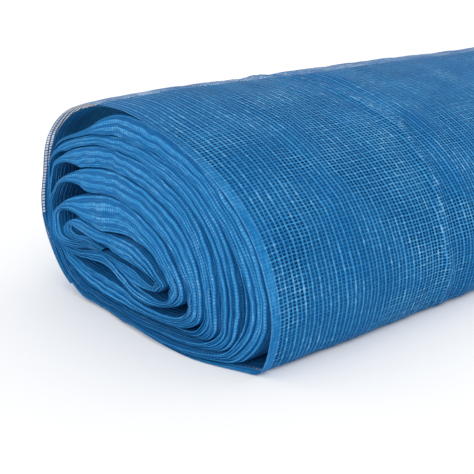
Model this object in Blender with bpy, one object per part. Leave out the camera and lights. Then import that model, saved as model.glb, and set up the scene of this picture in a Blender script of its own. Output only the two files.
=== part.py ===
"""Scaffold facade mesh: a folded net wound into a slack, flattened roll without a core tube.

The net is folded in its width and its length into one long bundle of layers, and the bundle is wound
up from its inner end. The solid is that one bundle, as a band that follows the winding, with the
hollows that the slack turns leave between them. Metres, +Z up, the roll's axis along X. The end that
shows the spiral faces -X, and the roll lies on the plane z = 0.
"""

import bmesh
import bpy
import numpy as np

# Driving sizes, in metres
BUNDLE_WIDTH = 0.640  # the folded net's width, along the roll's axis
CORE_HALF = 0.056  # half of the flat length that the turns lie round
CORE_TILT = np.radians(8.0)  # the flat's slope, down towards -Y
CORE_HEIGHT = 0.052  # the flat's middle, over the ground
TURN_GAP = 0.0006  # what parts two turns that are pressed together
CORE_SLIT = 0.0005  # half of the slit in the middle of the first turn
LEAST_BUNDLE = 0.0014  # the bundle gets no thinner than this where it has the room
THIN_END = 0.0005  # and this where it has none, at its inner end
LYING_PITCH = 0.0022  # the turns' pitch along the underside, where the roll's weight presses them
LYING_BUNDLE = 0.0015  # the bundle's thickness there
GROUND_TURN = 0.10  # the share of the last turn that lies on the ground itself
GROUND_CORNER = 0.004  # half the depth of the soft bend where the net meets the ground
EDGE_ROUND = 0.0008  # how far the folded edges are drawn in
CORE_TURNS = 2.3  # the count of turns up to which the bundle has the core's thicknesses
CORE_BLEND = 0.3  # the share of a turn over which it leaves them
LOOSE_END = 0.16  # the share of a turn over which the loose end is drawn back under the roll

# Each turn is an oval round the core's flat. A row gives how far the outer side of one turn stands off
# the flat, in millimetres, at these clock directions in degrees, seen from the spiral end: 0 is right,
# 90 is up. The last column is how far the turn's folded edges stand proud of the last wrap's edge.
CLOCK = (-70, -95, -120, -150, -180, -200, -220, -240, -260, -280, -300, -320, -340, -360, -380, -400)
TURNS = (
    # under x3, left x2, high left x3, top x3, high right x2, right x2, low right; proud
    (3, 3, 4, 7, 4, 3, 3.5, 4, 3.5, 3, 3, 3, 3, 3, 3, 3, 14),
    (15, 5, 6.5, 30, 17, 14.5, 15, 10, 11.5, 15.5, 13.5, 8, 6.5, 6.5, 8, 14, 15),
    (30, 16, 17, 45, 41, 35, 35.5, 38, 42, 41, 36, 28.5, 25, 24.5, 27, 28, 12),
    (47, 46, 50, 46.5, 48.5, 51, 55.5, 59.5, 62, 61, 58, 50, 42, 41, 47, 47, 9),
    (50, 49.5, 53, 53, 53, 61, 73, 77, 78, 77, 74, 66, 57, 55, 62, 60, 6),
    (53, 53, 56, 57, 58, 65, 78, 85, 88, 89, 89, 83, 75, 74, 77, 68, 3),
    (56, 56, 59, 61, 62, 68, 81, 88, 101, 106, 106, 105, 101, 99, 91, 76, 1),
    (59, 58.5, 62, 65, 68, 74, 91, 106, 111, 109, 109, 108, 105, 106, 107, 84, 0),
    (62, 62, 66, 69, 72, 78, 95, 110, 115, 113, 113, 112, 109, 110, 111, 88, 0),
)

# How thick the bundle can be at those directions, in millimetres. What a turn needs beyond this is a
# hollow under it: at the high left each turn stands away from the one it lies on.
BUNDLE = (14, 17, 14, 5, 5, 4, 8, 19, 20, 20, 20, 20, 20, 20, 15, 10)
CORE_BUNDLE = (13, 14, 12, 4.5, 8, 7, 17, 28, 28, 21, 16, 14, 16, 15, 15, 5)  # of the first turns

# How far the outer turns are pushed out under the spiral end at those directions, in millimetres
UNDER_PROUD = (21, 14.5, 13.5, 6, 2, 0, 0, 0, 0, 0, 0, 0, 0, 1, 7, 22)
WRAP = 2.4  # the last turn is only the loose outer layers, in millimetres
WRAP_TAPER = 0.12  # the share of a turn over which the bundle thins to them

# How the body swells behind the spiral end: the place along the axis as a share of the width, the rise
# of the top and the spread of the -Y side, as shares of their size at the end.
SWELL = (
    # along, rise, spread
    (0.00, 0.000, 0.000),
    (0.05, 0.020, 0.020),
    (0.15, 0.030, 0.055),
    (0.30, 0.022, 0.085),
    (0.50, 0.014, 0.090),
    (0.75, 0.006, 0.060),
    (1.00, 0.000, 0.025),
)

WINDING_START = 0.10  # turns from the clock's first direction to the bundle's inner end
WINDING_END = 7.14  # turns to the loose end, which lies under the roll
CLIMB = 0.42  # the share of a turn, along the underside, in which the bundle climbs one row
STEPS_PER_TURN = 38
STATIONS = (0.0, 0.006, 0.06, 0.16, 0.34, 0.60, 0.85, 0.994, 1.0)  # shares of the width

NET_BLUE = (0.024, 0.21, 0.56, 1.0)


def smooth_step(share):
    share = np.clip(share, 0.0, 1.0)
    return share * share * (3 - 2 * share)


def clock_angle(turns):
    """The clock direction at a count of turns, in radians: the winding runs clockwise."""
    return np.radians(CLOCK[0]) - 2 * np.pi * turns


def round_the_clock(values, turns):
    """A closed smooth curve through a table row: cubic pieces whose slopes are those of the chords
    between each value's neighbours."""
    knots = (CLOCK[0] - np.array(CLOCK, float)) / 360
    around = np.concatenate([[knots[-1] - 1], knots, [1, knots[1] + 1]])
    held = np.concatenate([values[-1:], values, values[:2]]).astype(float)
    slopes = (held[2:] - held[:-2]) / (around[2:] - around[:-2])
    around, held = around[1:-1], held[1:-1]
    place = np.mod(turns, 1.0)
    at = np.clip(np.searchsorted(around, place, side="right") - 1, 0, len(around) - 2)
    span = around[at + 1] - around[at]
    t = (place - around[at]) / span
    return (
        (2 * t**3 - 3 * t**2 + 1) * held[at]
        + (t**3 - 2 * t**2 + t) * span * slopes[at]
        + (3 * t**2 - 2 * t**3) * held[at + 1]
        + (t**3 - t**2) * span * slopes[at + 1]
    )


def climbed(turns, values):
    """The winding's value from one value a row: it goes from its row to the next one along the
    underside, as a smooth step, and then stays there for the rest of the turn."""
    row = np.clip(np.floor(turns).astype(int), 0, len(TURNS) - 2)
    low = np.take_along_axis(values, row[None], 0)[0]
    high = np.take_along_axis(values, row[None] + 1, 0)[0]
    return low + (high - low) * smooth_step((turns - row) / CLIMB)


def standoff(turns):
    """How far the bundle's outer side stands off the core's flat."""
    return climbed(turns, np.array([round_the_clock(row[:-1], turns) for row in TURNS])) / 1000


def beneath(turns):
    """The standoff of the turn beneath, which is the core's slit for the first turn."""
    below = standoff(np.maximum(turns - 1, 0.0))
    return CORE_SLIT + (below - CORE_SLIT) * smooth_step((turns - 0.75) / 0.25)


def thickness(turns):
    """The bundle's thickness: the room between two turns, or less over a hollow, blended softly."""
    room = standoff(turns) - beneath(turns) - TURN_GAP
    most = round_the_clock(BUNDLE, turns)
    core = smooth_step((CORE_TURNS - turns) / CORE_BLEND)
    most = most + core * (round_the_clock(CORE_BUNDLE, turns) - most)
    most = most + (WRAP - most) * smooth_step((turns - WINDING_END + 1) / WRAP_TAPER)
    most = most / 1000
    softer = 0.5 * (most + room - np.sqrt((most - room) ** 2 + TURN_GAP**2))
    return np.minimum(np.maximum(softer, LEAST_BUNDLE), np.maximum(room, THIN_END))


def across_roll(turns, off):
    """Points across the roll at a standoff off the core's flat: y and z of an oval whose half axes
    are the flat's half length plus the standoff, and the standoff."""
    along = (CORE_HALF + off) * np.cos(clock_angle(turns))
    upward = off * np.sin(clock_angle(turns))
    y = -along * np.cos(CORE_TILT) - upward * np.sin(CORE_TILT)
    z = CORE_HEIGHT - along * np.sin(CORE_TILT) + upward * np.cos(CORE_TILT)
    return y, z


def lying_height(turns, inner):
    """The least height of a side of the bundle: each turn lies on the next one, the last on the
    ground, and the inner side lies the bundle's thickness higher."""
    height = LYING_PITCH * np.clip(WINDING_END - turns - GROUND_TURN, 0.0, None)
    return height + inner * np.minimum(thickness(turns), LYING_BUNDLE)


def settled(z, least):
    """A height that gets no lower than the least one, with a soft bend where it meets it."""
    over = z - least
    bend = (over + GROUND_CORNER) ** 2 / (4 * GROUND_CORNER)
    return least + np.where(over > GROUND_CORNER, over, np.where(over < -GROUND_CORNER, 0.0, bend))


def edge_place(turns):
    """How far the folded edge stands out at the spiral end: the turn's own share, or more where an
    outer turn is pushed out along the underside."""
    proud = np.array([row[-1] for row in TURNS], float)[:, None] / 1000
    proud = climbed(turns, np.broadcast_to(proud, (len(TURNS), len(turns))))
    under = round_the_clock(UNDER_PROUD, turns) / 1000
    outer = np.clip((turns - 3.5) / 2.0, 0.0, 1.0)
    outer = outer * smooth_step((WINDING_END - turns) / LOOSE_END)
    return -np.maximum(proud, under * outer)


def swelled(y, z, share):
    """The body's swell at a share of its width: the top rises and the -Y side spreads."""
    along, rise, spread = np.array(SWELL).T
    z = z * (1 + np.interp(share, along, rise))
    return y + np.minimum(y, 0.0) * np.interp(share, along, spread), z


def band():
    """The bundle as rings of points, one ring a station: its outer side, then its inner side back."""
    count = int(round((WINDING_END - WINDING_START) * STEPS_PER_TURN)) + 1
    turns = np.linspace(WINDING_START, WINDING_END, count)
    outer = standoff(turns)
    inner = outer - thickness(turns)
    rings = []
    for share in STATIONS:
        drawn = EDGE_ROUND if share in (0.0, 1.0) else 0.0
        drawn = np.minimum(drawn, 0.2 * (outer - inner))
        sides = []
        for off, inside in ((outer - drawn, 0), (inner + drawn, 1)):
            y, z = across_roll(turns, off)
            y, z = swelled(y, settled(z, lying_height(turns, inside)), share)
            x = edge_place(turns) + share * BUNDLE_WIDTH
            sides.append(np.stack([x, y, z], axis=1))
        rings.append(np.concatenate([sides[0], sides[1][::-1]]))
    rings = np.array(rings)
    lowest, highest = rings.min(axis=(0, 1)), rings.max(axis=(0, 1))
    rings[..., :2] -= 0.5 * (lowest + highest)[:2]
    return rings, count


def build_roll():
    rings, count = band()
    around = 2 * count
    shape = bmesh.new()
    verts = [[shape.verts.new(point) for point in ring] for ring in rings.tolist()]
    for near, far in zip(verts[:-1], verts[1:]):
        for i in range(around):
            j = (i + 1) % around
            shape.faces.new((near[i], near[j], far[j], far[i]))
    for ring in (verts[0], verts[-1]):
        for i in range(count - 1):
            shape.faces.new((ring[i], ring[around - 1 - i], ring[around - 2 - i], ring[i + 1]))
    bmesh.ops.recalc_face_normals(shape, faces=shape.faces)
    mesh = bpy.data.meshes.new("net_roll")
    shape.to_mesh(mesh)
    shape.free()
    mesh.shade_smooth()
    mesh.set_sharp_from_angle(angle=np.radians(50))
    roll = bpy.data.objects.new("net_roll", mesh)
    bpy.context.scene.collection.objects.link(roll)
    return roll


def net_material():
    """Blue knitted polyethylene net: slightly glossy plastic yarn."""
    material = bpy.data.materials.new("net_fabric")
    material.use_nodes = True
    shader = material.node_tree.nodes["Principled BSDF"]
    shader.inputs["Base Color"].default_value = NET_BLUE
    shader.inputs["Roughness"].default_value = 0.45
    shader.inputs["Metallic"].default_value = 0.0
    return material


def main():
    for old in list(bpy.data.objects):
        bpy.data.objects.remove(old, do_unlink=True)
    build_roll().data.materials.append(net_material())


main()
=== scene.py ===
"""Looks of the rolled scaffold facade mesh.

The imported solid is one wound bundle. Here it becomes the net itself: the folded bundle with the rows
of folded edges at both ends, and the loose outer layers of open net that are wrapped round it.
Metres, +Z up, the roll's axis along X, the spiral end facing -X.
"""

from types import SimpleNamespace

import bpy
import numpy as np
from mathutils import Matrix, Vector


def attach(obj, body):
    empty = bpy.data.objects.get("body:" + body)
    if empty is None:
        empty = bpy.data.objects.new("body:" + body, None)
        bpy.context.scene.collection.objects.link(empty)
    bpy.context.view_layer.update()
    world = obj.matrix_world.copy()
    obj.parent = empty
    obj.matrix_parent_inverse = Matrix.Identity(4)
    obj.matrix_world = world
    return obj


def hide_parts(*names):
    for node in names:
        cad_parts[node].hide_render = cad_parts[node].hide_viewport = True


bl_info = {
    "name": "Rolled facade net",
    "version": (1, 0, 0),
    "blender": (4, 5, 0),
    "location": "View3D > Sidebar > Net",
    "description": "Builds a folded and rolled facade net, its materials and its stage",
    "category": "Add Mesh",
}

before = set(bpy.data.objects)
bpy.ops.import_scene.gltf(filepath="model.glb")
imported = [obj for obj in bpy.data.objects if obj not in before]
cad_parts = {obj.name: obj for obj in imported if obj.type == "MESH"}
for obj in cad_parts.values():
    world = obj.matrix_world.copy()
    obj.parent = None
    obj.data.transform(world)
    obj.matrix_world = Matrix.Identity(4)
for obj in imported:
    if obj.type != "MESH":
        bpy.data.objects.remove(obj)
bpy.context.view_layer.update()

# The winding, with the same sizes as the solid
BUNDLE_WIDTH = 0.640
CORE_HALF = 0.056
CORE_TILT = np.radians(8.0)
CORE_HEIGHT = 0.052
TURN_GAP = 0.0006
CORE_SLIT = 0.0005
SLIT_TURNS = 0.75  # turns that lie on the slit, before the first turn comes round beneath
LEAST_BUNDLE = 0.0014
THIN_END = 0.0005
LYING_PITCH = 0.0022
LYING_BUNDLE = 0.0015
GROUND_TURN = 0.10
GROUND_CORNER = 0.004

# A table row of 16 values is read round the clock, at these directions in degrees
CLOCK = (-70, -95, -120, -150, -180, -200, -220, -240, -260, -280, -300, -320, -340, -360, -380, -400)
# how far each turn stands off the core, and last how far its edge stands out, in millimetres
TURNS = (
    # under x3, left x2, high left x3, top x3, high right x2, right x2, low right; proud
    (3, 3, 4, 7, 4, 3, 3.5, 4, 3.5, 3, 3, 3, 3, 3, 3, 3, 14),
    (15, 5, 6.5, 30, 17, 14.5, 15, 10, 11.5, 15.5, 13.5, 8, 6.5, 6.5, 8, 14, 15),
    (30, 16, 17, 45, 41, 35, 35.5, 38, 42, 41, 36, 28.5, 25, 24.5, 27, 28, 12),
    (47, 46, 50, 46.5, 48.5, 51, 55.5, 59.5, 62, 61, 58, 50, 42, 41, 47, 47, 9),
    (50, 49.5, 53, 53, 53, 61, 73, 77, 78, 77, 74, 66, 57, 55, 62, 60, 6),
    (53, 53, 56, 57, 58, 67, 83, 85, 88, 89, 89, 83, 75, 74, 77, 68, 3),
    (56, 56, 59, 61, 62, 70, 86, 90, 105, 107, 106, 105, 101, 99, 91, 76, 1),
    (59, 58.5, 62, 65, 68, 75, 94, 108, 111, 109, 109, 108, 105, 106, 107, 84, 0),
    (62, 62, 66, 69, 72, 78, 95, 110, 115, 113, 113, 112, 109, 110, 111, 88, 0),
)
# how far the outer turns are pushed out at the spiral end, in millimetres
UNDER_PROUD = (21, 14.5, 13.5, 6, 2, 0, 0, 0, 0, 0, 0, 0, 0, 1, 7, 22)
# how thick the bundle is where it has room, in millimetres, and the same for its first turns
BUNDLE = (14, 17, 14, 5, 5, 4, 5, 19, 20, 20, 20, 20, 20, 20, 15, 10)
CORE_BUNDLE = (13, 14, 14, 13, 9, 7, 17, 28, 28, 21, 16, 14, 16, 15, 15, 5)
CORE_TURNS = 2.3
CORE_BLEND = 0.3
INNER_TURNS = 3.5  # these aren't pushed out at the spiral end, and the next ones are more and more
PUSHED_TURNS = 2.0
LOOSE_END = 0.16  # share of a turn along which the loose end draws back
LOOSE_BACK = 0.007
WRAP = 2.4  # millimetres
WRAP_TAPER = 0.12
SWELL = (
    # along, rise, spread
    (0.00, 0.000, 0.000),
    (0.05, 0.020, 0.020),
    (0.15, 0.030, 0.055),
    (0.30, 0.022, 0.085),
    (0.50, 0.014, 0.090),
    (0.75, 0.006, 0.060),
    (1.00, 0.000, 0.025),
)
WINDING_START = 0.10
BUNDLE_END = 6.28
WINDING_END = 7.14
CLIMB = 0.42  # share of a turn along which the winding goes from one row to the next
STATIONS = (0.0, 0.006, 0.06, 0.16, 0.34, 0.60, 0.85, 0.994, 1.0)  # sections of the solid
BOX_STEPS = 600
RUN_STEPS = 4000

# The uneven waves of the net. Each use of them has its kind of wave and its length.
WANDER = (
    # strength, share of the wave's length, turn of the phase with the kind, phase
    (1.0, 1.00, 1.7, 0.0),
    (0.6, 0.61, 2.9, 1.0),
    (0.4, 0.37, 4.1, 2.0),
)

# The folded edges
STRANDS = 6  # folded edges across one turn's thickness
STRAND_STEPS = 8
BUNDLE_STEP = 0.0025  # between the mesh's rows along the net
# how plainly the folds part: at the high left they lie as one broad fold
FOLD_PARTS = (0.8, 0.7, 0.6, 0.6, 0.5, 0.3, 0.12, 0.08, 0.12, 0.2, 0.4, 0.7, 0.95, 1.0, 1.0, 0.9)
# how far the outer layers stand back behind the inner ones, in millimetres
SLANT = (1, 0, 0, 0, 0, 1, 2, 3, 4, 4, 3, 2, 1, 0, 0, 1)
# how far the edges waver in and out, in millimetres
EDGE_RUFFLE = (0.5, 0.9, 1.1, 1.1, 1.0, 1.2, 1.5, 1.6, 1.4, 0.9, 0.6, 0.4, 0.3, 0.3, 0.3, 0.4)
RUFFLE_WAVE = (7.0, 0.052)
WIDTH_VARIES = 0.55
WIDTH_KINDS = (0.4, 1.3)  # the first fold's kind of wave, and the step to the next fold's
WIDTH_WAVE = 0.31
INNERMOST_WIDTH = 0.7  # of the other folds' width
LIP_POWER = 0.7  # of the sine that rounds a fold's lip
FOLD_DEEP = 0.0024
FOLD_DEEPEST = 1.5  # times the fold's own width
STANDS_OUT = 0.0016  # how far single folds stand out and back
STANDS_KINDS = (5.0, 2.1)
STANDS_WAVE = 0.25
BROAD_CREST = 0.8  # how near to a crest everything lies where the folds don't part, which sets only the painted light and shade there
EDGE_BEND = 0.0035
EDGE_BEND_MOST = 0.45  # of the bundle's thickness
SIDE_PLACES = (0.012, 0.022, 0.05, 0.12, 0.24, 0.38, 0.50, 0.60)  # behind the folded edges
# painted shade: the fold value on the sides behind the folded edges, below a crest's, so they come out
# darker
SIDE_SHADING = 0.7
FAR_STEPS = 9
FAR_FOLDS = 5
FAR_FOLD = 0.004
# painted shade: the same for the low folds of the far end
FAR_SHADING = 0.6

# The outer net
WRAP_STEP = 0.0035
WRAP_STEPS = (
    # from, to, step
    (0.00, 0.06, 0.002),
    (0.06, 0.17, 0.004),
    (0.17, 0.25, 0.002),
    (0.25, 1.00, 0.005),
)
LEAST_HEIGHT = 0.0004  # of the net's middle over the floor
UNDER_SKIN = 0.0003  # how far the net's middle lies inside the solid's skin
SHORT_END = 0.001
SAG = 0.0012
SAG_WAVE = (3.0, 0.21)
SAG_SLANT = 0.4
SAG_BEGINS = 0.03
INNER_DEPTH = 0.0018  # of the inner layer beneath the outer one
INNER_CREST = 0.5
# where the inner layer's edge lies behind the outer one's, round the clock, in millimetres
INNER_BEGINS = (2, 2, 2, 2, 2, 3, 4.5, 5, 5, 6, 12, 20, 22, 20, 9, 3)

# Its relief: the crease some way behind its edge, the higher part behind that, and its slack edge
CREASE = (
    # along the net, behind the edge
    (0.20, 0.186),
    (0.26, 0.199),
    (0.31, 0.209),
    (0.36, 0.212),
    (0.41, 0.199),
    (0.47, 0.184),
    (0.51, 0.194),
    (0.56, 0.200),
)
CREASE_STRAYS = 0.002
CREASE_WAVE = (1.0, 0.07)
RIDGE_HIGH = 0.0013
RIDGE_HALF = 0.0060
RIDGE_VARIES = 0.3
RIDGE_WAVE = (5.0, 0.045)
STEP_HIGH = 0.0022
STEP_BEHIND = 0.012
STEP_LONG = 0.020
CRUMPLE_HIGH = 0.0007
CRUMPLE_HALF = 0.012
CRUMPLE_SLANT = 2.5
CRUMPLE_WAVE = (4.0, 0.020)
WAVES_HIGH = 0.0006
WAVES_SLANT = 0.15
WAVES_WAVE = (2.0, 0.06)
RELIEF_FROM = 0.17  # along the net, where it comes up from the floor
RELIEF_RISE = 0.06
RELIEF_TO = 0.56  # and where it has come down again
RELIEF_FALL = 0.05
SLACK_HIGH = 0.0022
SLACK_AT = 0.16
SLACK_HALF = 0.055
SLACK_LONG = 0.10

# The net's material: sizes on the net, then the patterns
CHAIN_PITCH = 0.0040
WEFT_PITCH = 0.00255
PLY_PITCH = 0.0024
SELVEDGE = 0.0085
LIP = 0.0014
HEM_ENDS = (0.03, 0.09)  # along the net, where the selvedge grows loose
HEM_SHOWS = (0.24, 0.42)  # and dense again
# SHADE_BLUE is painted shade: the colour deep in the cells, between the plies and in the folds'
# creases. PALE_BLUE is the dense yarn's own colour, and on the folds' crests a painted highlight. The
# fourth blue is the colour of painted highlights, whitish glints on the yarn.
SHADE_BLUE = (0.007, 0.078, 0.225)
YARN_BLUE = (0.007, 0.140, 0.385)
PALE_BLUE = (0.042, 0.270, 0.575)
PAINTED_HIGHLIGHT_BLUE = (0.190, 0.480, 0.780)
# painted shade: the inner layer's colours are darker, as it lies beneath the outer one
INNER_SHADE = 0.9
INNER_SKEW = 0.09
INNER_LETS_THROUGH = 0.4
ROUGHNESS = 0.5
SHINE = 0.05
BUMP = SimpleNamespace(strength=0.6, distance=0.0007, chains=0.7, wefts=0.4)
# each noise has its waves to a metre, and how many finer ones lie on them
GRAIN = (230.0, 1.0)
NEAR = (70.0, 2.0)
FAR = (11.0, 1.0)
CLOUD = (26.0, 3.0)
STREAKS = (90.0, 950.0)  # to a metre, along the net and across it
STREAK = (1.0, 2.0)  # the noise over the net as stretched by STREAKS
NEAR_STRAY = 0.0012  # how far the yarns stray from their even places
FAR_STRAY = 0.003
# where a wave from 0 to 1 turns from open cell to yarn, and how much a heavier yarn adds to it
CHAIN_SIDES = (0.55, 0.86)
CHAIN_HEAVIER = 0.12
WEFT_SIDES = (0.62, 0.92)
WEFT_HEAVIER = 0.16
PATCHES = SimpleNamespace(cloud=0.7, shows=(-0.12, 0.12))

# How much each pattern adds to the paleness of the yarn, and to its painted highlight
FLAT = SimpleNamespace(
    chain=0.35,
    heavy_chain=0.35,
    weft=0.25,
    heavy_weft=0.35,
    cloud=1.1,
    grain=1.1,
    streak=0.3,
    # painted highlight: how much grain, near noise and cloud add to the glints, and where the glints
    # show
    painted_highlight_grain=1.2,
    painted_highlight_near=0.6,
    painted_highlight_cloud=1.1,
    painted_highlights=(0.82, 1.45),
)
HEM = SimpleNamespace(
    wavers=0.002,
    soft_side=0.85,
    streak=2.0,
    cloud=1.2,
    weft=0.35,
    grain=0.9,
    least=0.15,
    # the painted highlights are duller on the hem, and brighter along its lip
    dulls=0.6,
    lip_side=0.5,
    lip_painted_highlight=0.3,
)
# painted highlight spots along the outer net's crease
CREASE_HIGHLIGHT_DOTS = SimpleNamespace(near=1.2, grain=1.6, weft=0.3, shows=(1.05, 1.5), painted_highlight=0.8)
FOLDED = SimpleNamespace(
    ply_strays=0.0016,
    ply_sides=(0.10, 0.75),
    weft=0.35,
    ply=0.65,
    weave=0.6,
    streak=1.2,
    # painted highlight on the crests
    crest=0.35,
    crest_power=3.0,
    # painted highlight: glints along the folds
    painted_highlight_grain=0.8,
    painted_highlight_streak=0.6,
    painted_highlights=(0.78, 1.4),
    painted_highlight=0.8,
    # painted shade: the shade colour shows between the plies and away from the crests, less by these
    # shares
    yarn_weave=0.55,
    crest_lifts_shade=0.45,
    yarn_least=0.06,
)
CREASE_YARN = 0.5  # how far the crease closes the cells
PATCH_YARN = 0.5  # and how far the net closes where its cells don't show
# share of the painted highlight colour
PAINTED_HIGHLIGHT_SHARE = 0.75

# The stage
KEY_FROM = (-1.9, -0.7, 1.1)
KEY_POWER = 1.0
KEY_ANGLE = np.radians(35.0)
ROOM_LIGHT = 0.96
ROOM_COLOUR = (1, 1, 1, 1)
FLOOR_REACH = 60.0  # so far that its edge doesn't show
FLOOR_TONES = ((0.96, 0.96, 0.96, 1.0), (0.98, 0.98, 0.98, 1.0))
FLOOR_NOISE = (3.0, 2.0)
FLOOR_ROUGHNESS = 0.9
CAMERA_AT = (-0.7084, -0.523, 0.288)
CAMERA_LOOKS = (0.6521, 0.6895, -0.3153)
CAMERA_LENS = 68.354
CAMERA_SENSOR = 36.0


def smooth_step(share):
    """0 up to 0, 1 from 1 on, and between them three times the square less twice the cube."""
    share = np.clip(share, 0.0, 1.0)
    return share * share * (3 - 2 * share)


def clock_angle(turns):
    """The clock direction at a count of turns, in radians: the winding runs clockwise."""
    return np.radians(CLOCK[0]) - 2 * np.pi * turns


def round_the_clock(values, turns):
    """A closed smooth curve through a table row: cubic pieces whose slopes are those of the chords
    between each value's neighbours."""
    knots = (CLOCK[0] - np.array(CLOCK, float)) / 360
    around = np.concatenate([[knots[-1] - 1], knots, [1, knots[1] + 1]])
    held = np.concatenate([values[-1:], values, values[:2]]).astype(float)
    slopes = (held[2:] - held[:-2]) / (around[2:] - around[:-2])
    around, held = around[1:-1], held[1:-1]
    place = np.mod(turns, 1.0)
    at = np.clip(np.searchsorted(around, place, side="right") - 1, 0, len(around) - 2)
    span = around[at + 1] - around[at]
    t = (place - around[at]) / span
    return (
        (2 * t**3 - 3 * t**2 + 1) * held[at]
        + (t**3 - 2 * t**2 + t) * span * slopes[at]
        + (3 * t**2 - 2 * t**3) * held[at + 1]
        + (t**3 - t**2) * span * slopes[at + 1]
    )


def climbed(turns, values):
    """The winding's value from one value a row: it goes from its row to the next one along the
    underside, as a smooth step, and then stays there for the rest of the turn."""
    row = np.clip(np.floor(turns).astype(int), 0, len(TURNS) - 2)
    low = np.take_along_axis(values, row[None], 0)[0]
    high = np.take_along_axis(values, row[None] + 1, 0)[0]
    return low + (high - low) * smooth_step((turns - row) / CLIMB)


def standoff(turns):
    """How far the bundle's outer side stands off the core's flat."""
    return climbed(turns, np.array([round_the_clock(row[:-1], turns) for row in TURNS])) / 1000


def beneath(turns):
    """The standoff of the turn beneath, which is the core's slit for the first turn."""
    below = standoff(np.maximum(turns - 1, 0.0))
    return CORE_SLIT + (below - CORE_SLIT) * smooth_step((turns - SLIT_TURNS) / (1 - SLIT_TURNS))


def thickness(turns):
    """The bundle's thickness: the room between two turns, or less over a hollow, blended softly."""
    room = standoff(turns) - beneath(turns) - TURN_GAP
    core = smooth_step((CORE_TURNS - turns) / CORE_BLEND)
    most = round_the_clock(BUNDLE, turns)
    most = most + core * (round_the_clock(CORE_BUNDLE, turns) - most)
    most = most + (WRAP - most) * smooth_step((turns - WINDING_END + 1) / WRAP_TAPER)
    most = most / 1000
    softer = 0.5 * (most + room - np.sqrt((most - room) ** 2 + TURN_GAP**2))
    return np.minimum(np.maximum(softer, LEAST_BUNDLE), np.maximum(room, THIN_END))


def edge_place(turns):
    """How far the folded edge stands out at the spiral end: the turn's own share, or more where an
    outer turn is pushed out along the underside."""
    proud = np.array([row[-1] for row in TURNS], float)[:, None] / 1000
    proud = climbed(turns, np.broadcast_to(proud, (len(TURNS), len(turns))))
    under = round_the_clock(UNDER_PROUD, turns) / 1000
    outer = np.clip((turns - INNER_TURNS) / PUSHED_TURNS, 0.0, 1.0)
    outer = outer * smooth_step((WINDING_END - turns) / LOOSE_END)
    return -np.maximum(proud, under * outer)


def placed(turns, off, inner, x):
    """Points of the winding, for whole grids of places: across the roll they lie on an oval whose
    half axes are the flat's half length plus the standoff, and the standoff. Each turn keeps to the
    height at which it lies on the next one, with a soft bend where it meets it, and the body swells
    behind the spiral end. inner is 0 on the bundle's outer side and 1 on its inner side."""
    angle = clock_angle(turns)[:, None]
    along = (CORE_HALF + off) * np.cos(angle)
    upward = off * np.sin(angle)
    y = -along * np.cos(CORE_TILT) - upward * np.sin(CORE_TILT)
    z = CORE_HEIGHT - along * np.sin(CORE_TILT) + upward * np.cos(CORE_TILT)
    least = LYING_PITCH * np.clip(WINDING_END - turns - GROUND_TURN, 0.0, None)[:, None]
    least = least + inner * np.minimum(thickness(turns), LYING_BUNDLE)[:, None]
    over = z - least
    bend = (over + GROUND_CORNER) ** 2 / (4 * GROUND_CORNER)
    bend = np.where(over < -GROUND_CORNER, 0.0, bend)
    z = least + np.where(over > GROUND_CORNER, over, bend)
    along, rise, spread = np.array(SWELL).T
    share = np.clip(x / BUNDLE_WIDTH, 0.0, 1.0)
    z = z * (1 + np.interp(share, along, rise))
    y = y + np.minimum(y, 0.0) * np.interp(share, along, spread)
    return np.stack([np.broadcast_to(x, z.shape), y, z], axis=-1)


def box_middle():
    """The middle of the winding's box in X and Y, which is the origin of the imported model."""
    turns = np.linspace(WINDING_START, WINDING_END, BOX_STEPS)
    off = standoff(turns)[:, None]
    x = edge_place(turns)[:, None] + np.array(STATIONS) * BUNDLE_WIDTH
    points = placed(turns, np.broadcast_to(off, x.shape), 0.0, x).reshape(-1, 3)
    middle = 0.5 * (points.min(0) + points.max(0))
    return np.array([middle[0], middle[1], 0.0])


MIDDLE = box_middle()


def wander(s, kind, length):
    """A smooth uneven wave along s, between about -1 and 1: the sum of sines whose lengths don't
    match, over the sum of their strengths. The kind is any number, and sets their phases."""
    kind = np.asarray(kind, float)
    total, most = 0.0, 0.0
    for strength, share, turn, phase in WANDER:
        total = total + strength * np.sin(2 * np.pi * s / (share * length) + turn * kind + phase)
        most = most + strength
    return total / most


def run_along(turns, off):
    """The length along the net at each count of turns: chords of the winding at that standoff."""
    points = placed(turns, off[:, None], 0.0, np.zeros((len(turns), 1)))[:, 0]
    steps = np.linalg.norm(np.diff(points, axis=0), axis=1)
    return np.concatenate([[0.0], np.cumsum(steps)])


def evenly(first, last, step):
    """Counts of turns that lie a step apart along the net."""
    turns = np.linspace(first, last, RUN_STEPS)
    run = run_along(turns, standoff(turns))
    count = int(np.ceil(run[-1] / step)) + 1
    return np.interp(np.linspace(0, run[-1], count), run, turns)


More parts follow.
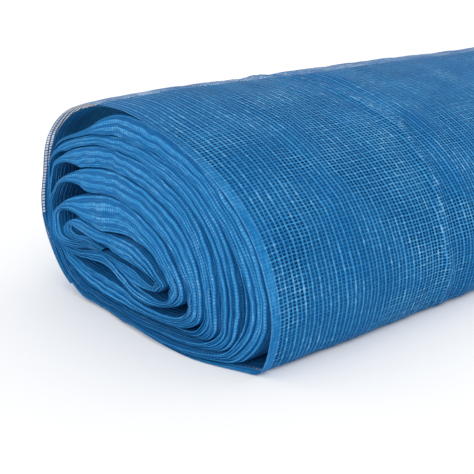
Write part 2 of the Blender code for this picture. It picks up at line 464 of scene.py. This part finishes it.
def grid_mesh(name, points, uv, shades, loop=False):
    """A mesh from a grid of points, with the net's own coordinates as its UV map, in metres, and one
    value a point as the attribute fold, which the materials read for painted light and shade."""
    rows, columns = points.shape[:2]
    index = np.arange(rows * columns).reshape(rows, columns)
    if loop:
        index = np.concatenate([index, index[:, :1]], axis=1)
    quads = np.stack([index[:-1, :-1], index[:-1, 1:], index[1:, 1:], index[1:, :-1]], axis=-1)
    quads = quads.reshape(-1, 4)
    corners = np.stack([uv[:-1, :-1], uv[:-1, 1:], uv[1:, 1:], uv[1:, :-1]], axis=2)
    mesh = bpy.data.meshes.new(name)
    mesh.vertices.add(rows * columns)
    mesh.vertices.foreach_set("co", points.astype(np.float32).ravel())
    mesh.loops.add(quads.size)
    mesh.loops.foreach_set("vertex_index", quads.ravel().astype(np.int32))
    mesh.polygons.add(len(quads))
    mesh.polygons.foreach_set("loop_start", np.arange(0, quads.size, 4, dtype=np.int32))
    mesh.update(calc_edges=True)
    layer = mesh.uv_layers.new(name="net")
    layer.data.foreach_set("uv", corners.astype(np.float32).ravel())
    fold = mesh.attributes.new("fold", "FLOAT", "POINT")
    fold.data.foreach_set("value", shades.astype(np.float32).ravel())
    mesh.validate()
    mesh.shade_smooth()
    made = bpy.data.objects.new(name, mesh)
    bpy.context.scene.collection.objects.link(made)
    return made


def strand_bounds(run, count):
    """Where the folded edges part, as shares of the bundle's thickness: their widths wander along
    the net, so that some come together and others part."""
    kinds = np.arange(count) * WIDTH_KINDS[1] + WIDTH_KINDS[0]
    widths = np.exp(WIDTH_VARIES * wander(run[:, None], kinds, WIDTH_WAVE))
    widths[:, -1] *= INNERMOST_WIDTH
    widths = widths / widths.sum(axis=1, keepdims=True)
    return np.concatenate([np.zeros((len(run), 1)), np.cumsum(widths, axis=1)], axis=1)


def folded_front(turns, run):
    """The rows of folded edges at the spiral end: for each place along the net, the share of
    the thickness, how far it lies behind the turn's edge, and how near it is to a fold's crest.
    Each fold is a rounded lip, a power of a half sine, with a narrow crease to its neighbour. The
    bundle's own two edges are rounded off by a quarter circle."""
    bounds = strand_bounds(run, STRANDS)
    thick = thickness(turns)[:, None]
    parts = round_the_clock(FOLD_PARTS, turns)[:, None]
    slant = round_the_clock(SLANT, turns)[:, None] / 1000
    around = np.linspace(0, np.pi, STRAND_STEPS)
    across = 0.5 - 0.5 * np.cos(around)
    lip = np.sin(around) ** LIP_POWER
    folds = []
    for k in range(STRANDS):
        low, high = bounds[:, k : k + 1], bounds[:, k + 1 : k + 2]
        share = low + (high - low) * across
        deep = np.minimum(FOLD_DEEP, FOLD_DEEPEST * (high - low) * thick) * parts
        kind = k * STANDS_KINDS[1] + STANDS_KINDS[0]
        stands = STANDS_OUT * parts * wander(run[:, None], kind, STANDS_WAVE)
        behind = slant * (1 - share) + deep * (1 - lip) + stands
        # the third value, how near the crest, is read only by the material: painted highlight on the
        # crests, painted shade in the creases
        folds.append((share, behind, lip * parts + (1 - parts) * BROAD_CREST))
    share, behind, crests = (np.concatenate(column, axis=1) for column in zip(*folds))
    near = np.minimum(share, 1 - share) * thick
    bend = np.minimum(EDGE_BEND, EDGE_BEND_MOST * thick)
    turned = np.clip(1 - near / bend, 0, 1)
    behind = behind + bend * (1 - np.sqrt(np.clip(1 - turned**2, 0, 1)))
    return share, behind, crests


def build_bundle():
    """The folded bundle, the net's length along it, and the length once round its profile: the
    folded edges, its outer side, the low folds of the far end, and its inner side."""
    turns = evenly(WINDING_START, BUNDLE_END, BUNDLE_STEP)
    off = standoff(turns)
    run = run_along(turns, off)
    share, behind, crests = folded_front(turns, run)
    ruffle = round_the_clock(EDGE_RUFFLE, turns) / 1000 * (1 + wander(run, *RUFFLE_WAVE))
    edge = (edge_place(turns) + ruffle)[:, None]
    outer_x = edge + behind[:, :1] + np.array(SIDE_PLACES)
    inner_x = edge + behind[:, -1:] + np.array(SIDE_PLACES)
    far_share = np.linspace(0, 1, FAR_STEPS)
    far_x = BUNDLE_WIDTH - FAR_FOLD + FAR_FOLD * np.sin(np.pi * far_share * FAR_FOLDS) ** 2
    sides = [
        (share[:, ::-1], edge + behind[:, ::-1], crests[:, ::-1]),
        (0.0, outer_x, SIDE_SHADING),
        (far_share, np.broadcast_to(far_x, (len(turns), FAR_STEPS)), FAR_SHADING),
        (1.0, inner_x[:, ::-1], SIDE_SHADING),
    ]
    sides = [np.broadcast_arrays(*side) for side in sides]
    share, x, shades = (np.concatenate(column, axis=1) for column in zip(*sides))
    thick = thickness(turns)[:, None]
    points = placed(turns, off[:, None] - share * thick, share, x) - MIDDLE
    ring = np.concatenate([points, points[:, :1]], axis=1)
    steps = np.linalg.norm(np.diff(ring, axis=1), axis=2).mean(axis=0)
    across = np.concatenate([[0.0], np.cumsum(steps)])
    uv = np.stack(np.broadcast_arrays(run[:, None], across[None]), axis=-1)
    bundle = grid_mesh("net_bundle", points, uv, shades, loop=True)
    return bundle, run[-1], float(across[-1])


def wrap_relief(run, along):
    """How far the outer net stands off the layer beneath, and how near each point is to its crease: a
    ridge where the net is creased some way behind its edge, a higher part behind the ridge, slow
    waves round the roll, and an edge that stands off at the high left. Ridge and crumple are bell
    curves across the crease. All but the slack edge fades towards the floor."""
    place, crease = np.array(CREASE).T
    behind = along - np.interp(run, place, crease) - CREASE_STRAYS * wander(run, *CREASE_WAVE)
    near = np.exp(-((behind / RIDGE_HALF) ** 2))
    ridge = RIDGE_HIGH * near * (1 + RIDGE_VARIES * wander(run, *RIDGE_WAVE))
    step = STEP_HIGH * smooth_step((behind - STEP_BEHIND) / STEP_LONG)
    crumple = CRUMPLE_HIGH * np.exp(-((behind / CRUMPLE_HALF) ** 2))
    crumple = crumple * wander(run + CRUMPLE_SLANT * along, *CRUMPLE_WAVE)
    waves = WAVES_HIGH * (1 + wander(along + WAVES_SLANT * run, *WAVES_WAVE))
    clear = smooth_step((run - RELIEF_FROM) / RELIEF_RISE)
    clear = clear * smooth_step((RELIEF_TO - run) / RELIEF_FALL)
    slack = SLACK_HIGH * np.exp(-(((run - SLACK_AT) / SLACK_HALF) ** 2)) * np.exp(-along / SLACK_LONG)
    return clear * (ridge + step + waves + crumple) + slack, clear * near


def build_wrap(name, depth, begins):
    """One layer of the last wrap, its length round the roll and its width. depth is how far it lies
    inside the winding's outer side, and begins how far its edge lies behind the turn's."""
    turns = evenly(WINDING_END - 1.0, WINDING_END, WRAP_STEP)
    off = standoff(turns) - depth
    run = run_along(turns, off)[:, None]
    start_x = round_the_clock(begins, turns)[:, None] / 1000
    drawn_back = LOOSE_BACK * (1 - smooth_step((WINDING_END - turns) / (2 * LOOSE_END)))
    edge = (edge_place(turns) + drawn_back)[:, None]
    along = np.concatenate([np.arange(start, end, step) for start, end, step in WRAP_STEPS])[None]
    along = along[:, along[0] < BUNDLE_WIDTH - start_x.min()]
    x = np.minimum(edge + start_x + along, BUNDLE_WIDTH - SHORT_END)
    sag = SAG * wander(run + SAG_SLANT * along, *SAG_WAVE) * np.minimum(1, along / SAG_BEGINS)
    inner = depth / WRAP * 1000
    raised, near = (0.0, INNER_CREST) if depth > 0 else wrap_relief(run, along)
    points = placed(turns, off[:, None] - UNDER_SKIN - np.abs(sag) + raised, inner, x) - MIDDLE
    points[..., 2] += LEAST_HEIGHT
    uv = np.stack(np.broadcast_arrays(run, start_x.min() + along), axis=-1)
    wrap = grid_mesh(name, points, uv, np.broadcast_to(near, x.shape))
    return wrap, float(run[-1, 0]), float(along[0, -1])


class Socket:
    """A shader socket that takes part in sums as a number does."""

    def __init__(self, tree, socket):
        self.tree = tree
        self.socket = socket

    def math(self, operation, *others):
        """The result of that operation on this socket and the others."""
        return self.tree.add("ShaderNodeMath", {"operation": operation}, self, *others)

    def __add__(self, other):
        return self.math("ADD", other)

    __radd__ = __add__

    def __mul__(self, other):
        return self.math("MULTIPLY", other)

    __rmul__ = __mul__

    def __sub__(self, other):
        return self.math("SUBTRACT", other)

    def __rsub__(self, other):
        return (self * -1.0) + other

    def __pow__(self, other):
        return self.math("POWER", other)

    def clamped(self):
        """The value kept between 0 and 1."""
        return self.math("MAXIMUM", 0.0).math("MINIMUM", 1.0)

    def wave(self):
        """Half of one plus the cosine: 1 at each full turn, and 0 halfway between."""
        return self.math("COSINE") * 0.5 + 0.5


class Tree:
    """A material's node tree, with one way to add any node."""

    def __init__(self, material):
        material.use_nodes = True
        self.nodes = material.node_tree.nodes
        self.links = material.node_tree.links
        self.shader = self.nodes["Principled BSDF"]

    def add(self, kind, settings=None, *inputs, **named):
        """A node of that type with those settings. Inputs go to its sockets in order, or by name."""
        node = self.nodes.new(kind)
        for key, value in (settings or {}).items():
            setattr(node, key, value)
        for place, value in list(enumerate(inputs)) + list(named.items()):
            self.join(node.inputs[place], value)
        return Socket(self, node.outputs[0])

    def source(self, kind, output, settings=None):
        """That output of a new node of that type, which has no inputs."""
        return Socket(self, self.add(kind, settings).socket.node.outputs[output])

    def join(self, socket, value):
        """Link a socket to the input, or set the input's value. None leaves it as it is."""
        if isinstance(value, Socket):
            self.links.new(value.socket, socket)
        elif value is not None:
            socket.default_value = value

    def split(self, vector):
        """A vector's three parts."""
        node = self.nodes.new("ShaderNodeSeparateXYZ")
        self.join(node.inputs[0], vector)
        return [Socket(self, output) for output in node.outputs]

    def ramp(self, value, low, high):
        """0 below low and 1 above high, with a smooth step between."""
        settings = {"interpolation_type": "SMOOTHSTEP"}
        return self.add("ShaderNodeMapRange", settings, value, low, high, 0.0, 1.0)

    def noise(self, vector, scale, detail):
        """Three uneven waves over the net, each between about -0.5 and 0.5."""
        node = self.nodes.new("ShaderNodeTexNoise")
        node.noise_dimensions = "2D"
        self.join(node.inputs["Vector"], vector)
        node.inputs["Scale"].default_value = scale
        node.inputs["Detail"].default_value = detail
        return [part - 0.5 for part in self.split(Socket(self, node.outputs["Color"]))]

    def mixed(self, share, first, second):
        """The second colour by its share, and the first for the rest."""
        node = self.nodes.new("ShaderNodeMix")
        node.data_type = "RGBA"
        self.join(node.inputs["Factor"], share)
        self.join(node.inputs[6], first)
        self.join(node.inputs[7], second)
        return Socket(self, node.outputs[2])

    def let_through(self, share, colour):
        """Light from the other side comes through as a soft glow."""
        glow = self.add("ShaderNodeBsdfTranslucent", None, colour)
        output = self.nodes["Material Output"].inputs["Surface"]
        front = Socket(self, self.shader.outputs[0])
        self.join(output, self.add("ShaderNodeMixShader", None, share, front, glow))


class Weave:
    """The patterns of the knitting over one layer: chains of stitches along the net, thinner cross
    yarns (wefts) between them, every second one of each heavier, and the noises that stray them.
    skew is how far the layer's cells are turned against those of the outer layer."""

    def __init__(self, tree, net, skew):
        uv = tree.add("ShaderNodeUVMap", {"uv_map": "net"})
        self.run, self.across, _ = tree.split(uv)
        # fold: how near a crest or a crease, which the materials read for painted light and shade
        self.fold = tree.source("ShaderNodeAttribute", "Fac", {"attribute_name": "fold"})
        self.grain = tree.noise(uv, *GRAIN)
        self.near = tree.noise(uv, *NEAR)
        self.far = tree.noise(uv, *FAR)
        self.cloud = tree.noise(uv, *CLOUD)
        thin = tree.add("ShaderNodeCombineXYZ", None, self.run * STREAKS[0], self.across * STREAKS[1])
        self.streak = tree.noise(thin, *STREAK)
        strays = [self.near[i] * NEAR_STRAY + self.far[i] * FAR_STRAY for i in range(2)]
        chain_turn = (self.across + self.run * skew + strays[0]) * (2 * np.pi / net.chain_pitch)
        weft_turn = (self.run - self.across * skew + strays[1]) * (2 * np.pi / net.weft_pitch)
        self.chains = chain_turn.wave()
        self.wefts = weft_turn.wave()
        self.heavy_chains = (chain_turn * 0.5).wave()
        self.heavy_wefts = (weft_turn * 0.5).wave()
        self.chain = tree.ramp(self.chains + self.heavy_chains * CHAIN_HEAVIER, *CHAIN_SIDES)
        self.weft = tree.ramp(self.wefts + self.heavy_wefts * WEFT_HEAVIER, *WEFT_SIDES)
        self.open_patch = tree.ramp(self.far[2] + self.cloud[2] * PATCHES.cloud, *PATCHES.shows)


def folded_look(tree, weave):
    """Where the folds' yarn is pale, where it has painted highlights, and how far it keeps clear of
    painted shade: thin plies along the folds, with painted shade between the plies and in the creases,
    and a painted highlight on the crests."""
    crest = weave.fold.clamped()
    ply_turn = (weave.across + weave.near[2] * FOLDED.ply_strays) * (2 * np.pi / PLY_PITCH)
    plies = tree.ramp(ply_turn.wave(), *FOLDED.ply_sides)
    yarns = plies * (weave.wefts * FOLDED.weft + FOLDED.ply)
    pale = yarns * FOLDED.weave + weave.streak[2] * FOLDED.streak
    # painted highlight on the crests
    pale = pale + crest**FOLDED.crest_power * FOLDED.crest
    # painted highlight: glints along the plies
    painted_highlight = yarns + weave.grain[0] * FOLDED.painted_highlight_grain
    painted_highlight = painted_highlight + weave.streak[0] * FOLDED.painted_highlight_streak + weave.cloud[1]
    painted_highlight = tree.ramp(painted_highlight, *FOLDED.painted_highlights) * FOLDED.painted_highlight
    # painted shade between the plies and away from the crests
    yarn = yarns * FOLDED.yarn_weave + crest * FOLDED.crest_lifts_shade + FOLDED.yarn_least
    return pale.clamped(), painted_highlight, yarn.clamped()


def flat_look(tree, weave):
    """The same for the net that lies flat, with its chains, cross yarns and open cells."""
    pale = weave.chain * (weave.heavy_chains * FLAT.heavy_chain + FLAT.chain)
    wefts = weave.weft * (weave.heavy_wefts * FLAT.heavy_weft + FLAT.weft)
    pale = pale + wefts * weave.open_patch
    pale = pale + weave.cloud[0] * FLAT.cloud + weave.grain[0] * FLAT.grain
    pale = (pale + weave.streak[0] * FLAT.streak).clamped()
    # painted highlight: glints on the yarn
    painted_highlight = pale + weave.grain[1] * FLAT.painted_highlight_grain + weave.near[1] * FLAT.painted_highlight_near
    painted_highlight = tree.ramp(painted_highlight + weave.cloud[1] * FLAT.painted_highlight_cloud, *FLAT.painted_highlights)
    return pale, painted_highlight, weave.chain.math("MAXIMUM", weave.weft)


def open_look(tree, weave):
    """The same for the outer layer, with its dense selvedge, a painted highlight along that one's thin
    lip, painted highlight spots along the crease, and patches where the cells are closer."""
    pale, painted_highlight, yarn = flat_look(tree, weave)
    # painted highlight along the selvedge's thin lip
    lip = 1.0 - tree.ramp(weave.across, LIP * HEM.lip_side, LIP)
    wavering = weave.across + weave.near[2] * HEM.wavers
    hem = 1.0 - tree.ramp(wavering, SELVEDGE * HEM.soft_side, SELVEDGE)
    hem = hem * (1.0 - tree.ramp(weave.run, *HEM_ENDS) + tree.ramp(weave.run, *HEM_SHOWS))
    hem_pale = weave.streak[2] * HEM.streak + weave.cloud[2] * HEM.cloud + weave.wefts * HEM.weft
    hem_pale = (hem_pale + weave.grain[2] * HEM.grain + HEM.least).clamped()
    pale = pale + (hem_pale - pale) * hem
    # painted highlight spots along the crease
    highlight_dots = weave.near[0] * CREASE_HIGHLIGHT_DOTS.near + weave.grain[2] * CREASE_HIGHLIGHT_DOTS.grain + weave.wefts * CREASE_HIGHLIGHT_DOTS.weft
    highlight_dots = tree.ramp(highlight_dots + weave.fold, *CREASE_HIGHLIGHT_DOTS.shows)
    closed = PATCH_YARN - weave.open_patch * PATCH_YARN
    yarn = yarn.math("MAXIMUM", closed).math("MAXIMUM", hem)
    yarn = yarn.math("MAXIMUM", weave.fold * CREASE_YARN)
    # painted highlights: duller on the hem, added along the lip and at the crease
    painted_highlight = painted_highlight * (1.0 - hem * HEM.dulls) + lip * HEM.lip_painted_highlight + highlight_dots * CREASE_HIGHLIGHT_DOTS.painted_highlight
    return pale, painted_highlight.clamped(), yarn


def net_material(name, net, look, shade=1.0, skew=0.0, lets_through=0.0):
    """Knitted net with that look. lets_through is the share of the light that comes through to the
    inside, and shade makes all colours darker, as painted shade on a layer that lies beneath another.
    Only the open look has its cells cut out."""
    material = bpy.data.materials.new(name)
    tree = Tree(material)
    weave = Weave(tree, net, skew)
    lit, painted_highlights, yarn = look(tree, weave)
    dark, mid, pale, painted_highlight = (
        tuple(shade * part for part in blue) + (1.0,)
        for blue in (net.shade_blue, net.yarn_blue, net.pale_blue, net.painted_highlight_blue)
    )
    # the pale colour is the dense yarn's own, and on the folds' crests a painted highlight
    colour = tree.mixed(lit, mid, pale)
    # painted highlight colour over the yarn
    colour = tree.mixed(painted_highlights * PAINTED_HIGHLIGHT_SHARE, colour, painted_highlight)
    # painted shade colour where the yarn mask is low: in the cells, between the plies and away from
    # the crests
    colour = tree.mixed(yarn, dark, colour)
    height = weave.chains * BUMP.chains + weave.wefts * BUMP.wefts
    bump = tree.add(
        "ShaderNodeBump", None, Strength=BUMP.strength, Distance=BUMP.distance, Height=height
    )
    inputs = tree.shader.inputs
    tree.join(inputs["Base Color"], colour)
    tree.join(inputs["Roughness"], ROUGHNESS)
    tree.join(inputs["Specular IOR Level"], SHINE)
    tree.join(inputs["Normal"], bump)
    if look is open_look:
        tree.join(inputs["Alpha"], yarn)
    if lets_through:
        tree.let_through(lets_through, pale)
    return material


def floor_material():
    """Pale plain floor, very slightly uneven in its tone."""
    material = bpy.data.materials.new("pale_floor")
    tree = Tree(material)
    place = tree.source("ShaderNodeTexCoord", "Object")
    noise = tree.add("ShaderNodeTexNoise", None, place, None, *FLOOR_NOISE)
    tree.join(tree.shader.inputs["Base Color"], tree.mixed(noise, *FLOOR_TONES))
    tree.join(tree.shader.inputs["Roughness"], FLOOR_ROUGHNESS)
    return material


def length_property(name, description, default):
    """A length that a user can change."""
    return bpy.props.FloatProperty(name=name, description=description, default=default, unit="LENGTH")


def colour_property(name, description, default):
    """A colour that a user can change."""
    return bpy.props.FloatVectorProperty(
        name=name, description=description, default=default, subtype="COLOR", size=3, min=0.0, max=1.0
    )


class NetProperties(bpy.types.PropertyGroup):
    """The sizes and colours of the net, and the strength of the light"""

    chain_pitch: length_property("Chain pitch", "Distance between two stitch chains", CHAIN_PITCH)
    weft_pitch: length_property("Weft pitch", "Distance between two cross yarns", WEFT_PITCH)
    # painted shade: the colour deep in the cells and in the folds' creases
    shade_blue: colour_property("Open cells", "Colour deep in the cells", SHADE_BLUE)
    yarn_blue: colour_property("Yarn", "Colour of the yarn", YARN_BLUE)
    # the dense yarn's colour, also used as painted highlight on the crests
    pale_blue: colour_property("Pale yarn", "Colour where the yarn lies dense", PALE_BLUE)
    # painted highlight colour: whitish glints on the yarn
    painted_highlight_blue: colour_property("Gleam", "Colour of the yarn's bright threads", PAINTED_HIGHLIGHT_BLUE)
    room_light: bpy.props.FloatProperty(
        name="Room light", description="Strength of the light from all round", default=ROOM_LIGHT
    )


class NET_OT_bundle(bpy.types.Operator):
    """Build the wound bundle of folded net"""

    bl_idname = "net.build_bundle"
    bl_label = "Net bundle"

    def execute(self, context):
        net = context.scene.rolled_net
        bundle, length, width = build_bundle()
        bundle.data.materials.append(net_material("folded_net", net, folded_look))
        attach(bundle, "root")
        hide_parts("net_roll")
        return {"FINISHED"}


class NET_OT_wrap(bpy.types.Operator):
    """Build the loose outer layers of open net"""

    bl_idname = "net.build_wrap"
    bl_label = "Net wrap"

    def execute(self, context):
        net = context.scene.rolled_net
        open_net = net_material("open_net", net, open_look)
        # the inner layer is a darker copy of the net: painted shade beneath the outer layer
        inner_net = net_material(
            "inner_net", net, flat_look, INNER_SHADE, INNER_SKEW, INNER_LETS_THROUGH
        )
        for name, depth, begins, material in (
            ("net_wrap", 0.0, (0,) * len(CLOCK), open_net),
            ("net_wrap_inner", INNER_DEPTH, INNER_BEGINS, inner_net),
        ):
            wrap, length, width = build_wrap(name, depth, begins)
            wrap.data.materials.append(material)
            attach(wrap, "root")
        return {"FINISHED"}


def build_floor(scene):
    """A plain square that reaches far past the picture."""
    mesh = bpy.data.meshes.new("floor")
    far = FLOOR_REACH
    corners = [(-far, -far, 0), (far, -far, 0), (far, far, 0), (-far, far, 0)]
    mesh.from_pydata(corners, [], [(0, 1, 2, 3)])
    floor = bpy.data.objects.new("floor", mesh)
    floor.data.materials.append(floor_material())
    scene.collection.objects.link(floor)


def build_light(scene):
    """A weak broad light from the high left, in a room that is white all round."""
    light = bpy.data.lights.new("key", "SUN")
    light.angle = KEY_ANGLE
    light.energy = KEY_POWER
    lamp = bpy.data.objects.new("key", light)
    lamp.rotation_euler = (-Vector(KEY_FROM)).to_track_quat("-Z", "Y").to_euler()
    scene.collection.objects.link(lamp)
    world = bpy.data.worlds.new("studio")
    world.use_nodes = True
    background = world.node_tree.nodes["Background"]
    background.inputs["Color"].default_value = ROOM_COLOUR
    background.inputs["Strength"].default_value = scene.rolled_net.room_light
    scene.world = world


def build_camera(scene):
    """The camera of the photo."""
    camera = bpy.data.cameras.new("camera")
    camera.lens = CAMERA_LENS
    camera.sensor_width = CAMERA_SENSOR
    eye = bpy.data.objects.new("camera", camera)
    eye.location = CAMERA_AT
    eye.rotation_euler = Vector(CAMERA_LOOKS).to_track_quat("-Z", "Y").to_euler()
    scene.collection.objects.link(eye)
    scene.camera = eye
    scene.view_settings.view_transform = "Standard"


class NET_OT_stage(bpy.types.Operator):
    """Build the pale floor, the soft light and the camera"""

    bl_idname = "net.build_stage"
    bl_label = "Stage"

    def execute(self, context):
        build_floor(context.scene)
        build_light(context.scene)
        build_camera(context.scene)
        return {"FINISHED"}


class NET_PT_panel(bpy.types.Panel):
    """The net's properties and operators in the sidebar"""

    bl_idname = "NET_PT_panel"
    bl_label = "Rolled facade net"
    bl_space_type = "VIEW_3D"
    bl_region_type = "UI"
    bl_category = "Net"

    def draw(self, context):
        column = self.layout.column()
        net = context.scene.rolled_net
        for name in net.bl_rna.properties.keys():
            if name not in ("name", "rna_type"):
                column.prop(net, name)
        for operator in (NET_OT_bundle, NET_OT_wrap, NET_OT_stage):
            column.operator(operator.bl_idname)


CLASSES = (NetProperties, NET_OT_bundle, NET_OT_wrap, NET_OT_stage, NET_PT_panel)


def register():
    for cls in CLASSES:
        bpy.utils.register_class(cls)
    bpy.types.Scene.rolled_net = bpy.props.PointerProperty(type=NetProperties)


def unregister():
    del bpy.types.Scene.rolled_net
    for cls in reversed(CLASSES):
        bpy.utils.unregister_class(cls)


def main():
    register()
    bpy.ops.net.build_bundle()
    bpy.ops.net.build_wrap()
    bpy.ops.net.build_stage()


if __name__ == "__main__":
    main()
